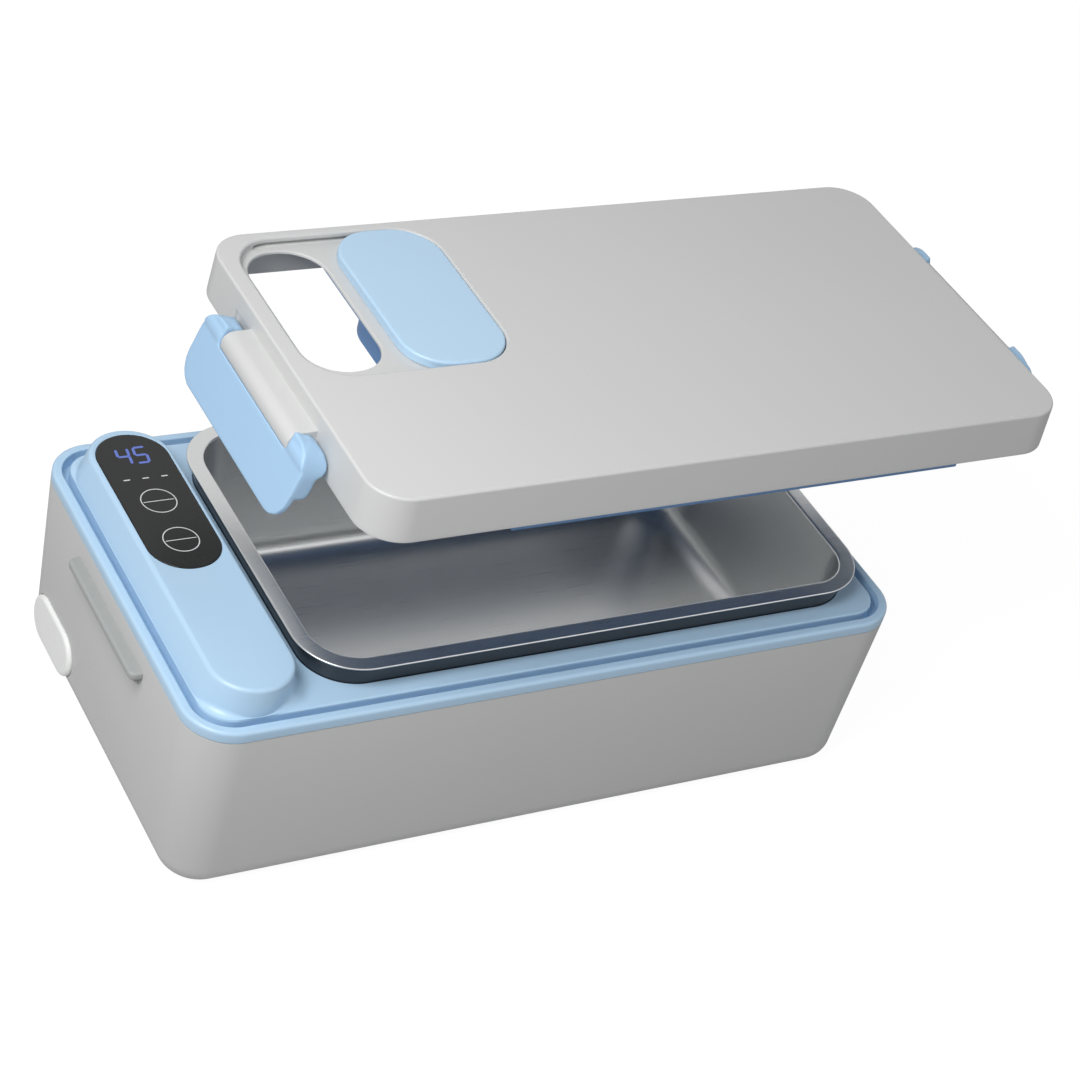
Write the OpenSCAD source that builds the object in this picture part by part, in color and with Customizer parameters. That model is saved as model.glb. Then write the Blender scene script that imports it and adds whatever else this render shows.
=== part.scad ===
// Electric lunch box: a drafted grey shell with a blue deck, a steel food tray over a heated well,
// a touch panel on a raised pod, and a lift-off lid with a sliding panel cover and two end latches.
// Millimetres. Origin: centre of the footprint on the table, +X along the long side to the end
// without controls, +Y to the back, +Z up. The lid is drawn where it is held after lifting off.

/* [Shell] */
// Length of the box at its flange
box_l = 260; // [235:1:300]
// Width of the box at its flange
box_w = 142; // [132:1:170]
// Corner radius seen from above
corner_r = 16; // [13:0.5:22]
// Height of the grey shell's top edge above the table
shell_h = 65.4; // [60:0.2:80]
// How far each side of the shell draws in towards the bottom
shell_taper = 2.2; // [0.5:0.1:4]
// Rounding of the shell's bottom edge
bottom_r = 8; // [3:0.5:9]
// Wall of the shell
shell_wall = 2; // [1.6:0.1:2.2]
// Floor of the shell
floor_t = 2.4; // [1.8:0.1:3]
// Thickness of a rubber foot, let into the floor
foot_t = 1.1; // [0.8:0.1:1.4]
// Diameter of a rubber foot
foot_d = 14; // [10:0.5:18]

/* [Deck] */
// Height of the blue flange that shows above the shell
flange_h = 4.2; // [3:0.1:6]
// Rounding of the flange's outer edge
flange_r = 1.2; // [0.4:0.1:2]
// Width of the rim that the lid's skirt stands on
rim_w = 3.2; // [2.8:0.1:4]
// Width of the channel inside the rim
channel_w = 2.6; // [2.4:0.1:3.5]
// Depth of the channel
channel_d = 4.8; // [4.4:0.1:6]
// Thickness of the deck
deck_t = 2.2; // [1.8:0.1:3]

/* [Control pod] */
// Height of the pod above the deck
pod_h = 9.8; // [7:0.1:10.2]
// Width of the pod where it meets the deck
pod_w = 32.7; // [28:0.1:36]
// How far the pod's outer side leans in over its height
pod_lean = 3.8; // [3.6:0.1:5]
// How far its other sides lean in
pod_draft = 1.1; // [0.5:0.1:2]
// Rounding of the pod's top edge
pod_edge_r = 1.5; // [1:0.1:2]
// Wall of the pod
pod_wall = 1.9; // [1.4:0.1:2.4]
// Length of the glass panel
panel_l = 68; // [60:1:76]
// Thickness of the glass panel
panel_t = 1.2; // [0.8:0.1:1.6]
// Gap between the glass panel and the pod's back end
panel_back = 3; // [2.5:0.5:6]

/* [Tray] */
// Gap between the pod and the tray's rim
tray_gap = 2.1; // [1.5:0.1:4]
// Distance from the box's edge to the tray's rim
tray_margin = 9; // [8.4:0.1:14]
// Width of the tray's flat rim
tray_rim_w = 5.8; // [5:0.1:8]
// Height of the tray's rim above the deck
tray_rise = 9; // [7:0.1:9.2]
// Depth of the tray
tray_depth = 56; // [40:1:57]
// Sheet steel of the tray
tray_t = 0.7; // [0.5:0.1:1]
// Radius of the tray's corners seen from above
tray_r = 15; // [10:0.5:20]
// Rounding of the tray's bottom edge
tray_bottom_r = 9; // [5:0.5:12]
// Draft of the tray's walls, in degrees
tray_draft = 2; // [1:0.25:3]
// Wall of the black collar that carries the tray's rim
collar_t = 1.2; // [0.8:0.1:1.6]
// Sheet of the heated well
well_t = 0.8; // [0.6:0.1:1]

/* [Lid] */
// Height of the lid from its skirt to its top
lid_h = 16; // [15.6:0.1:20]
// How far the lid's skirt stands in from the box's edge
lid_inset = 2; // [1.6:0.1:2.2]
// How far each side of the lid draws in towards the top
lid_taper = 0.8; // [0.4:0.1:1.5]
// Wall of the lid
lid_wall = 1.6; // [1.4:0.1:1.6]
// Thickness of the lid's top
lid_top_t = 2; // [1.6:0.1:2.4]
// Rounding of the lid's top edge
lid_edge_r = 3; // [1.5:0.5:4]
// How far the lid stands to the right of its closed place
lid_shift = 41.2; // [35:0.1:42]
// How high the lid is held above its closed place
lid_raise = 65.4; // [64:0.1:100]
// Depth of the slider's recess in the lid
recess_d = 3.2; // [2.8:0.1:3.2]
// Length of the window over the touch panel
window_l = 64.5; // [50:0.5:66]
// Width of the window over the touch panel
window_w = 27; // [20:0.5:28]
// Corner radius of the window
window_r = 13; // [6:0.5:14]
// How far the liner's plug reaches below the lid's skirt
plug_drop = 9; // [4:0.5:12]
// How far the liner's ribs reach below the lid's skirt
rib_drop = 3.2; // [2:0.1:4.2]

/* [Slider and latches] */
// Width of the slider along its travel
slider_w = 36.6; // [31:0.2:40]
// Radius of the slider's corners
slider_r = 15; // [8:0.5:17]
// Length of a latch paddle
latch_l = 78; // [66:1:84]
// Thickness of a latch paddle
latch_t = 2.4; // [2:0.1:2.8]
// Length of the hinge bar between a latch's ears
bar_l = 52; // [40:1:54]
// Radius of the hinge bar's nose
bar_r = 4; // [3.5:0.1:4.4]
// Diameter of a latch pin
pin_d = 2.6; // [2:0.1:3]
// Angle at which a freed latch stands away from the box, in degrees
latch_rest = 17; // [17:0.5:40]
// Height of the hook bar's top above the table
hook_z = 58.8; // [56:0.1:59]
// How far the hook bar stands out of the shell's widest line
hook_out = 4; // [3.5:0.1:4]

/* [Port] */
// Length of the rubber port plug
port_l = 33; // [32:1:38]
// Height of the rubber port plug
port_h = 17; // [16:0.5:18]
// Distance of the port behind the middle of the box
port_y = 41; // [34:1:42]
// Height of the port's middle above the table
port_z = 13.5; // [12:0.5:14]

/* [Hidden] */

// Fineness of round cuts, of corners and of rounded edges
$fn = 48;
corner_steps = 8;
edge_steps = 4;
// Overlap that makes a cut or a union clean
eps = 0.5;
// Gaps: between fixed pieces, between moving pieces, and round a pin
fit_gap = 0.1;
slide_gap = 0.3;
pin_gap = 0.05;

// Heights
deck_top = shell_h + flange_h;
channel_floor = deck_top - channel_d;
deck_bottom = channel_floor - 1.6;
pod_top = deck_top + pod_h;
tray_top = deck_top + tray_rise;
tray_bottom = tray_top - tray_depth;
skirt_z = deck_top + fit_gap;
lid_top = skirt_z + lid_h;
recess_z = lid_top - recess_d;
recess_floor_t = 1.1;
liner_top = recess_z - recess_floor_t - fit_gap;
liner_t = 1.3;

// The deck's plan: insets from the box's edge
channel_in = rim_w + channel_w;
deck_wall = 1.6;
locator_in = shell_wall + 0.2;

// The pod's plan, from the box's left edge
pod_left = -box_l / 2 + channel_in;
pod_right = pod_left + pod_w;
pod_len = box_w - 2 * channel_in;
pod_r = 16;
panel_w = pod_w - pod_lean - pod_draft - 2 * pod_edge_r - 0.2;
panel_x = (pod_left + pod_lean + pod_right - pod_draft) / 2;
panel_y = pod_len / 2 - pod_draft - panel_back - panel_l / 2;

// The tray's plan
rim_left = pod_right + tray_gap;
rim_right = box_l / 2 - tray_margin;
rim_l = rim_right - rim_left;
rim_wy = box_w - 2 * tray_margin;
tray_x = (rim_left + rim_right) / 2;
open_l = rim_l - 2 * tray_rim_w;
open_w = rim_wy - 2 * tray_rim_w;
rim_corner = tray_r + tray_rim_w;

// The collar and the well stand round the tray with these gaps
collar_gap = tray_t + 0.4;
well_gap = tray_t + 0.9;
collar_flange = 4;
flange_t = 1.5;

// The slanted way that the lid is set down along
path_slope = lid_shift / lid_raise;
lid_rest = [lid_shift, 0, lid_raise];

// The liner's plug stands inside the tray, short at the right for the slanted way
plug_bottom = skirt_z - plug_drop;
plug_clear = 2.4;
plug_gap = plug_clear + (tray_top - plug_bottom) * tan(tray_draft);
plug_left = tray_x - open_l / 2 + plug_gap;
plug_right = tray_x + open_l / 2 - plug_gap - path_slope * (tray_top - plug_bottom);
plug_wall = 1.5;
rib_in = lid_inset + lid_wall + lid_taper;
rib_t = 1.1;

// The slider, its recess and the window in the lid
recess_back = box_w / 2 - 6.5;
recess_front = recess_back - 73.5;
recess_left = -box_l / 2 + 9;
window_x = recess_left + 2.5 + window_w / 2;
window_y = recess_back - 3 - window_l / 2;
slider_left = window_x + window_w / 2 + 4.5;
recess_right = slider_left + slider_w + slide_gap;
slider_travel = slider_left - recess_left - 0.4;
tongue_out = 1.2;
tongue_t = 1.1;
tongue_l = 18;

// The latches: hinge axis, paddle and lip in the closed lid's place
axis_x = box_l / 2 + 3;
axis_z = skirt_z + 6.3;
ear_r = bar_r + 0.6;
paddle_in = bar_r - latch_t;
hook_t = 2.6;
lip_t = 2;
lip_top = hook_z - hook_t - 0.2;
paddle_bottom = lip_top - lip_t;
hook_l = 57;
paddle_r = 9;
slit = 0.5;
leg_in = 2.5;
leg_drop = 12;
leg_r = 2.5;

// The four posts that join the shell and the deck, and their screws
post_x = box_l / 2 - 12;
post_y = box_w / 2 - 12;
post_r = 3.9;
post_join = 24;
screw_r = 1.5;
screw_l = post_join + 8;
screw_z = 1.4;
foot_in = 26;
head_r = 3;
head_t = 2;

// The touch panel's electronics, hung below the pod's roof
roof_z = pod_top - panel_t + 0.2 - 1;
board_t = 1.6;
board_z = roof_z - 3.4 - board_t;
board_w = 19;
board_l = 62;
display_w = 16;
display_l = 11;
display_y = panel_y + panel_l / 2 - 13;

// Heating: from the well's floor downwards
well_floor = tray_bottom - 0.2;
plate_t = 3;
ptc_t = 4;
plate_z = well_floor - well_t - plate_t;
ptc_z = plate_z - ptc_t;
heater_l = 150;
heater_w = 84;
ptc_l = 92;
ptc_w = 21;

// Battery cells lie in two columns under the pod
cell_r = 9.15;
cell_l = 65;
cell_pitch = 18.9;
cell_x = -box_l / 2 + 15.2;
cell_z = floor_t + 12;
cell_y = -17;
holder_wall = 0.5;

// The power inlet behind the port, and the board above it
inlet_l = 22;
inlet_h = 13;
inlet_d = 17;
board_x = -box_l / 2 + 23;
board_y = box_w / 2 - 32;
pcb_z = port_z + inlet_h / 2 + 6;

// One rounded outline, as points
function outline(l, w, r, cx = 0, cy = 0) = [
    for (q = [0:3], i = [0:corner_steps])
        let (a = 90 * (q + i / corner_steps), sx = (q == 0 || q == 3) ? 1 : -1, sy = q < 2 ? 1 : -1)
        [cx + sx * (l / 2 - r) + r * cos(a), cy + sy * (w / 2 - r) + r * sin(a)]];

// The same outline raised to a height
function level(pts, z) = [for (p = pts) [p[0], p[1], z]];

// Profiles as [inset, height]: a rounded bottom edge and a rounded top edge
function low_round(inset, z, r) = [
    for (k = [0:edge_steps])
        let (a = 90 * k / edge_steps)
        [inset + r * (1 - sin(a)), z + r * (1 - cos(a))]];
function top_round(inset, z, r) = [
    for (k = [0:edge_steps])
        let (a = 90 * k / edge_steps)
        [inset + r * (1 - cos(a)), z - r * (1 - sin(a))]];

// Skin over a stack of outlines with equal counts of points
module loft(rings) {
    n = len(rings[0]);
    m = len(rings);
    sides = [for (j = [0:m - 2], i = [0:n - 1])
        let (a = j * n + i, b = j * n + (i + 1) % n)
        each [[a, a + n, b + n], [a, b + n, b]]];
    low = [[for (i = [0:n - 1]) i]];
    high = [[for (i = [0:n - 1]) m * n - 1 - i]];
    polyhedron(points = [for (s = rings) each s], faces = concat(sides, low, high), convexity = 6);
}

// Rounded box whose sides follow a profile of [inset, height]
module skin(l, w, r, profile, cx = 0, cy = 0) {
    loft([for (p = profile)
        level(outline(l - 2 * p[0], w - 2 * p[0], max(r - p[0], 0.5), cx, cy), p[1])]);
}

// Straight rounded slab between two heights
module slab(l, w, r, z0, z1, cx = 0, cy = 0) {
    translate([0, 0, z0])
        linear_extrude(z1 - z0)
            polygon(outline(l, w, r, cx, cy));
}

// Rounded band with a straight wall: its outer size, its width inwards and its heights
module band(l, w, r, width, z0, z1, cx = 0, cy = 0) {
    difference() {
        slab(l, w, r, z0, z1, cx, cy);
        slab(l - 2 * width, w - 2 * width, max(r - width, 0.5), z0 - eps, z1 + eps, cx, cy);
    }
}

module mirror_copy(v) {
    children();
    mirror(v) children();
}

module at_posts() {
    for (sx = [-1, 1], sy = [-1, 1])
        translate([sx * post_x, sy * post_y, 0]) children();
}

module at_feet() {
    for (sx = [-1, 1], sy = [-1, 1])
        translate([sx * (box_l / 2 - foot_in), sy * (box_w / 2 - foot_in), 0]) children();
}

// A rod along Y
module y_rod(r, l, x, z) {
    translate([x, 0, z]) rotate([90, 0, 0]) cylinder(r = r, h = l, center = true);
}

// A wire of one radius swept along a list of points, with a ring square to the way at each point
function unit(v) = v / norm(v);
function heading(pts, i) =
    unit(pts[min(i + 1, len(pts) - 1)] - pts[max(i - 1, 0)]);
module wire(pts, r) {
    sides = 8;
    rings = [for (i = [0:len(pts) - 1])
        let (t = heading(pts, i), u = unit(cross(t, [0.3, 0.9, 0.3])), v = cross(t, u))
        [for (k = [0:sides - 1])
            let (a = 360 * k / sides)
            pts[i] + r * cos(a) * u + r * sin(a) * v]];
    loft(rings);
}

// Ledge on each end that a latch's lip catches, with a small fin under each of its ends
module hook_bar() {
    wall_x = box_l / 2 - shell_taper;
    tip_x = box_l / 2 + hook_out;
    fin = 6;
    difference() {
        union() {
            slab(2 * (tip_x - wall_x), hook_l, 2.5, hook_z - hook_t, hook_z, wall_x);
            for (sy = [-1, 1])
                translate([0, sy * (hook_l / 2 - 3), 0])
                    rotate([90, 0, 0])
                        linear_extrude(1.6, center = true)
                            polygon([[wall_x, hook_z - hook_t - fin], [wall_x, hook_z - hook_t + 0.2],
                                [tip_x, hook_z - hook_t + 0.2], [tip_x, hook_z - hook_t - 0.6]]);
        }
        skin(box_l - 2 * shell_wall, box_w - 2 * shell_wall, corner_r - shell_wall,
            [[shell_taper, 0], [0, shell_h]]);
    }
}

module lower_shell() {
    color([0.64, 0.65, 0.64])
    difference() {
        union() {
            difference() {
                skin(box_l, box_w, corner_r,
                    concat(low_round(shell_taper, 0, bottom_r), [[0, shell_h]]));
                skin(box_l, box_w, corner_r,
                    concat(low_round(shell_taper + shell_wall, floor_t, bottom_r - shell_wall),
                        [[shell_wall, shell_h], [shell_wall, shell_h + eps]]));
            }
            mirror_copy([1, 0, 0]) hook_bar();
            at_posts() translate([0, 0, floor_t - eps])
                cylinder(r = post_r, h = post_join - floor_t + eps);
        }
        at_posts() translate([0, 0, -eps]) {
            cylinder(r = screw_r + fit_gap, h = post_join + 2 * eps);
            cylinder(r = head_r + fit_gap, h = screw_z + head_t + eps);
        }
        at_feet() translate([0, 0, -eps])
            cylinder(d = foot_d + 2 * fit_gap, h = foot_t + eps);
        port_cut();
    }
}

// Oval hole for the plug's spigot and the shallow seat of its cover
module port_cut() {
    translate([-box_l / 2 - eps, port_y, port_z])
        rotate([0, 90, 0]) {
            linear_extrude(shell_wall + shell_taper + 5)
                polygon(outline(port_h - 6 + 2 * fit_gap, port_l - 6 + 2 * fit_gap,
                    port_h / 2 - 3 + fit_gap));
            linear_extrude(shell_taper + eps + 0.8)
                polygon(outline(port_h + 0.4, port_l + 0.4, port_h / 2));
        }
}

module port_plug() {
    seat = shell_taper + 0.9;
    color([0.91, 0.92, 0.92])
    translate([-box_l / 2, port_y, port_z])
        rotate([0, 90, 0]) {
            skin(port_h, port_l, port_h / 2,
                concat(low_round(0, seat - 2.8, 1.2), [[0, seat - 0.1]]));
            translate([0, 0, seat - 1])
                linear_extrude(3.2)
                    polygon(outline(port_h - 6, port_l - 6, port_h / 2 - 3));
        }
}

module rubber_feet() {
    color([0.1, 0.1, 0.1])
    at_feet() cylinder(d = foot_d, h = foot_t);
}

module base_screws() {
    color([0.7, 0.7, 0.72])
    at_posts() translate([0, 0, screw_z]) {
        cylinder(r = head_r, h = head_t);
        cylinder(r = screw_r, h = screw_l);
    }
}

// The pod's outer form, grown or shrunk by an inset and cut off at two heights
module pod_form(inset, z0, z1, edge_r) {
    lean = pod_lean / pod_h;
    draft = pod_draft / pod_h;
    steps = concat([[0, z0]], top_round(0, z1, edge_r));
    loft([for (p = steps)
        let (h = p[1] - deck_top,
            x0 = pod_left + inset + lean * h + p[0],
            x1 = pod_right - inset - draft * h - p[0],
            half = pod_len / 2 - inset - draft * h - p[0])
        level(outline(x1 - x0, 2 * half, min(pod_r, (x1 - x0) / 2 - 0.1), (x0 + x1) / 2, 0), p[1])]);
}

module top_deck() {
    color([0.70, 0.83, 0.92])
    difference() {
        union() {
            skin(box_l, box_w, corner_r,
                concat([[0, shell_h]], top_round(0, deck_top, flange_r)));
            slab(box_l - 2 * locator_in, box_w - 2 * locator_in, corner_r - locator_in,
                deck_bottom, shell_h + eps);
            pod_form(0, deck_top - eps, pod_top, pod_edge_r);
            at_posts() translate([0, 0, post_join])
                cylinder(r = post_r, h = deck_top - deck_t - post_join + eps);
        }
        band(box_l - 2 * rim_w, box_w - 2 * rim_w, corner_r - rim_w, channel_w,
            channel_floor, deck_top + eps);
        deck_hollow();
        slab(open_l + 2 * (collar_gap + collar_t + fit_gap), open_w + 2 * (collar_gap + collar_t + fit_gap),
            tray_r + collar_gap + collar_t + fit_gap, deck_bottom, deck_top + eps, tray_x);
        pod_form(pod_wall, deck_top - deck_t - eps, roof_z, pod_edge_r);
        slab(panel_w + 2 * fit_gap, panel_l + 2 * fit_gap, panel_w / 2 - 0.2, pod_top - panel_t + 0.2,
            pod_top + eps, panel_x, panel_y);
        display_cut();
        at_posts() translate([0, 0, post_join - eps])
            cylinder(r = screw_r + 0.02, h = screw_z + screw_l - post_join + 2);
    }
}

// The room under the deck, left solid round the four posts
module deck_hollow() {
    in = channel_in + deck_wall;
    difference() {
        slab(box_l - 2 * in, box_w - 2 * in, corner_r - in, deck_bottom - eps, deck_top - deck_t);
        at_posts() translate([0, 0, deck_bottom - 2 * eps])
            cylinder(r = post_r, h = deck_t + flange_h + channel_d);
    }
}

// Hole in the pod's roof behind the number display
module display_cut() {
    translate([panel_x - display_w / 2, display_y - display_l / 2, roof_z - eps])
        cube([display_w, display_l, panel_t + 1]);
}

module control_panel() {
    color([0.20, 0.20, 0.21])
    slab(panel_w, panel_l, panel_w / 2 - 0.3, pod_top - panel_t + 0.2, pod_top + 0.2, panel_x, panel_y);
}

// Number display: a block that fills the roof's hole from below
module display_module() {
    color([0.36, 0.43, 0.75])
    translate([panel_x - display_w / 2 + fit_gap, display_y - display_l / 2 + fit_gap, board_z + board_t])
        cube([display_w - 2 * fit_gap, display_l - 2 * fit_gap, pod_top - panel_t + 0.2 - board_z - board_t]);
}

module at_board_screws() {
    for (sx = [-1, 1], sy = [-1, 1])
        translate([panel_x + sx * (board_w / 2 - 2.2), panel_y + sy * (board_l / 2 - 2.5), 0]) children();
}

module control_board() {
    color([0.05, 0.35, 0.2])
    difference() {
        translate([panel_x - board_w / 2, panel_y - board_l / 2, board_z]) cube([board_w, board_l, board_t]);
        at_board_screws() translate([0, 0, board_z - eps]) cylinder(r = 1.1, h = board_t + 2 * eps);
    }
}

module board_screws() {
    color([0.7, 0.7, 0.72])
    at_board_screws() {
        translate([0, 0, board_z - 1.2]) cylinder(r = 1.9, h = 1.2);
        translate([0, 0, board_z - 1.2]) cylinder(r = 1, h = 1.2 + board_t + 3.2);
    }
}

module touch_pads() {
    color([0.15, 0.15, 0.16])
    for (dy = [-9.5, 10])
        translate([panel_x, panel_y - 11 + dy, board_z + board_t])
            cylinder(d = 10, h = roof_z - board_z - board_t);
}

module tray_collar() {
    l = open_l + 2 * (collar_gap + collar_t);
    w = open_w + 2 * (collar_gap + collar_t);
    r = tray_r + collar_gap + collar_t;
    z1 = deck_top - deck_t;
    color([0.06, 0.07, 0.1])
    union() {
        band(l, w, r, collar_t, z1 - flange_t, tray_top - tray_t, tray_x);
        band(l + 2 * collar_flange, w + 2 * collar_flange, r + collar_flange, collar_flange + collar_t,
            z1 - flange_t, z1, tray_x);
    }
}

// Tray-like form: straight drafted walls with a rounded bottom edge
module pan_form(grow, z0, z1, r_low) {
    d = tan(tray_draft);
    walls = [for (p = low_round(0, z0, r_low)) [p[0] - grow + (tray_top - p[1]) * d, p[1]]];
    skin(open_l, open_w, tray_r, concat(walls, [[(tray_top - z1) * d - grow, z1]]), tray_x);
}

module heater_well() {
    z1 = deck_top - deck_t - flange_t;
    l = open_l + 2 * (well_gap + collar_flange);
    w = open_w + 2 * (well_gap + collar_flange);
    color([0.78, 0.79, 0.8])
    difference() {
        union() {
            pan_form(well_gap + well_t, well_floor - well_t, z1, tray_bottom_r + well_t);
            slab(l, w, tray_r + well_gap + collar_flange, z1 - well_t, z1, tray_x);
        }
        pan_form(well_gap, well_floor, z1 + eps, tray_bottom_r);
    }
}

module food_tray() {
    color([0.72, 0.73, 0.74])
    difference() {
        union() {
            pan_form(tray_t, tray_bottom, tray_top - tray_t, tray_bottom_r);
            skin(rim_l, rim_wy, rim_corner,
                [[0, tray_top - tray_t], [0, tray_top - 0.3], [0.3, tray_top]], tray_x);
        }
        pan_form(0, tray_bottom + tray_t, tray_top + eps, tray_bottom_r - tray_t);
    }
}

module heater_plate() {
    color([0.8, 0.8, 0.82])
    slab(heater_l, heater_w, 8, plate_z, plate_z + plate_t, tray_x);
}

module ptc_heaters() {
    color([0.85, 0.8, 0.55])
    for (sy = [-1, 1])
        translate([tray_x - ptc_l / 2, sy * heater_w / 4 - ptc_w / 2, ptc_z]) cube([ptc_l, ptc_w, ptc_t]);
}

module thermostat() {
    color([0.12, 0.12, 0.13])
    translate([tray_x, 0, plate_z]) mirror([0, 0, 1]) {
        cylinder(r = 7, h = 1.5);
        cylinder(r = 6, h = ptc_t + 1);
    }
}

module insulation_pad() {
    color([0.93, 0.92, 0.86])
    difference() {
        slab(heater_l + 26, heater_w + 16, 10, floor_t, ptc_z, tray_x);
        translate([tray_x, 0, ptc_z - 3]) cylinder(r = 9, h = 3 + eps);
    }
}

module at_cells() {
    for (i = [0, 1], j = [0, 1])
        translate([cell_x + i * cell_pitch, cell_y, cell_z + j * cell_pitch])
            rotate([90, 0, 0]) children();
}

module battery_cells() {
    color([0.2, 0.4, 0.65])
    at_cells() {
        cylinder(r = cell_r, h = cell_l, center = true);
        cylinder(r = 3, h = cell_l + 2, center = true);
    }
}

module battery_holder() {
    size = cell_pitch + 2 * (cell_r + holder_wall);
    color([0.16, 0.16, 0.17])
    for (sy = [-1, 1])
        difference() {
            translate([cell_x - cell_r - holder_wall, cell_y + sy * (cell_l / 2 - 1.5) - 4,
                cell_z - cell_r - holder_wall])
                cube([size, 8, size]);
            at_cells() cylinder(r = cell_r + fit_gap, h = cell_l + 0.2, center = true);
            at_cells() cylinder(r = 3 + fit_gap, h = cell_l + 20, center = true);
        }
}

module power_inlet() {
    x0 = -box_l / 2 + shell_taper + shell_wall + 2.4;
    color([0.08, 0.08, 0.09])
    translate([x0, port_y, port_z])
        rotate([0, 90, 0]) {
            difference() {
                linear_extrude(inlet_d) polygon(outline(inlet_h, inlet_l, 2));
                translate([0, 0, -eps]) linear_extrude(12 + eps) polygon(outline(8.4, 14.6, 4));
            }
            for (sy = [-1, 1])
                translate([0, sy * 4.3, 3]) cylinder(r = 1.2, h = 12, $fn = 24);
        }
}

module power_board() {
    color([0.05, 0.35, 0.2])
    translate([board_x, board_y, pcb_z]) {
        translate([-14, -20, 0]) cube([28, 36, board_t]);
        translate([-9, -11, board_t]) cube([18, 15, 14]);
        translate([-4, 10, board_t]) cylinder(r = 5, h = 16);
        translate([7, 10, board_t]) cylinder(r = 4, h = 12);
    }
}

// Leads from the inlet to the power board, and from it to the heaters and up to the touch panel
module internal_wires() {
    inlet_back = -box_l / 2 + shell_taper + shell_wall + 2.4 + inlet_d + fit_gap;
    low_z = floor_t + 5;
    lead_y = heater_w / 4;
    lead_z = ptc_z + ptc_t / 2;
    color([0.6, 0.12, 0.1]) {
        wire([[inlet_back, port_y - 4, port_z], [inlet_back + 4, port_y - 4, port_z],
            [inlet_back + 7, port_y - 5, port_z + 5], [inlet_back + 7, port_y - 5, pcb_z]], 0.9);
        wire([[board_x + 11, lead_y + 3, pcb_z], [board_x + 11, lead_y + 3, low_z + 3],
            [board_x + 14, lead_y + 3, low_z], [tray_x - heater_l / 2 - 20, lead_y, low_z],
            [tray_x - heater_l / 2 - 16, lead_y, lead_z - 2], [tray_x - heater_l / 2 - 12, lead_y, lead_z],
            [tray_x - ptc_l / 2, lead_y, lead_z]], 0.9);
        wire([[board_x, board_y - 17, pcb_z + board_t], [board_x, board_y - 17, pcb_z + 10],
            [board_x + 3, board_y - 14, pcb_z + 24], [board_x, board_y - 17, board_z - 10],
            [board_x, board_y - 17, board_z]], 0.9);
    }
}

// The lid's outer form and its inside
module lid_form() {
    lean = lid_taper / lid_h;
    sides = [for (p = top_round(0, lid_top, lid_edge_r)) [p[0] + lean * (p[1] - skirt_z), p[1]]];
    skin(box_l - 2 * lid_inset, box_w - 2 * lid_inset, corner_r - lid_inset, concat([[0, skirt_z]], sides));
}

module lid_inside() {
    in = lid_inset + lid_wall;
    skin(box_l - 2 * in, box_w - 2 * in, corner_r - in,
        [[0, skirt_z - eps], [0, skirt_z], [lid_taper, lid_top - lid_top_t]]);
}

// Thickening under the recess, and the recess itself with the slots for the slider's tongues
module recess_block() {
    intersection() {
        translate([-box_l / 2, recess_front - 3, recess_z - recess_floor_t])
            cube([recess_right + 2 + box_l / 2, box_w, lid_top - recess_z + recess_floor_t - 1]);
        lid_form();
    }
}

module recess_cut() {
    slab(recess_right - recess_left, recess_back - recess_front, slider_r + slide_gap, recess_z,
        lid_top + eps, (recess_left + recess_right) / 2, (recess_front + recess_back) / 2);
    slot_left = slider_left + (slider_w - tongue_l) / 2 - slider_travel - slide_gap;
    slot_l = slider_travel + tongue_l + 2 * slide_gap;
    slot_out = tongue_out + slide_gap;
    translate([slot_left, recess_front - slot_out, recess_z])
        cube([slot_l, recess_back - recess_front + 2 * slot_out, tongue_t + slide_gap]);
    slab(window_w, window_l, window_r, recess_z - 4, lid_top + eps, window_x, window_y);
}

// Hinge bar for a latch: a half-round nose blended into the lid's end wall
module hinge_bar() {
    root = box_l / 2 - lid_inset - lid_taper;
    difference() {
        union() {
            y_rod(bar_r, bar_l, axis_x, axis_z);
            translate([root - 0.6, -bar_l / 2, axis_z - bar_r]) cube([axis_x - root + 0.6, bar_l, 2 * bar_r]);
        }
        y_rod(pin_d / 2 + pin_gap, bar_l + 2, axis_x, axis_z);
    }
}

module lid_boss_places() {
    for (i = [0:2], sy = [-1, 1])
        translate([plug_right - 12 - 62 * i, sy * (open_w / 2 - 12), 0]) children();
}

module lid_shell() {
    color([0.75, 0.75, 0.74])
    translate(lid_rest)
    difference() {
        union() {
            difference() {
                lid_form();
                lid_inside();
            }
            recess_block();
            lid_boss_places() translate([0, 0, liner_top + fit_gap])
                cylinder(r = 3, h = lid_top - lid_top_t - liner_top);
            mirror_copy([1, 0, 0]) hinge_bar();
        }
        recess_cut();
        lid_boss_places() translate([0, 0, liner_top]) cylinder(r = 1.2, h = 3);
    }
}

module lid_liner() {
    plate_left = window_x + window_w / 2 + 0.6;
    plate_right = box_l / 2 - rib_in;
    plate_w = box_w - 2 * rib_in;
    plug_l = plug_right - plug_left;
    plug_x = (plug_left + plug_right) / 2;
    rib_left = plate_left + 12;
    rib_l = plug_right - rib_left - 12;
    color([0.62, 0.76, 0.90])
    translate(lid_rest)
    difference() {
        union() {
            slab(plate_right - plate_left, plate_w, corner_r - rib_in, liner_top - liner_t, liner_top,
                (plate_left + plate_right) / 2);
            band(plug_l, open_w - 2 * plug_gap, tray_r + 1, plug_wall, plug_bottom, liner_top - liner_t + eps,
                plug_x);
            for (sy = [-1, 1])
                translate([rib_left, sy * (box_w / 2 - rib_in - rib_t / 2) - rib_t / 2, skirt_z - rib_drop])
                    cube([rib_l, rib_t, liner_top - skirt_z + rib_drop - liner_t + eps]);
        }
        lid_boss_places() translate([0, 0, liner_top - 2 * liner_t]) cylinder(r = 1.3, h = 3 * liner_t);
    }
}

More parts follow.
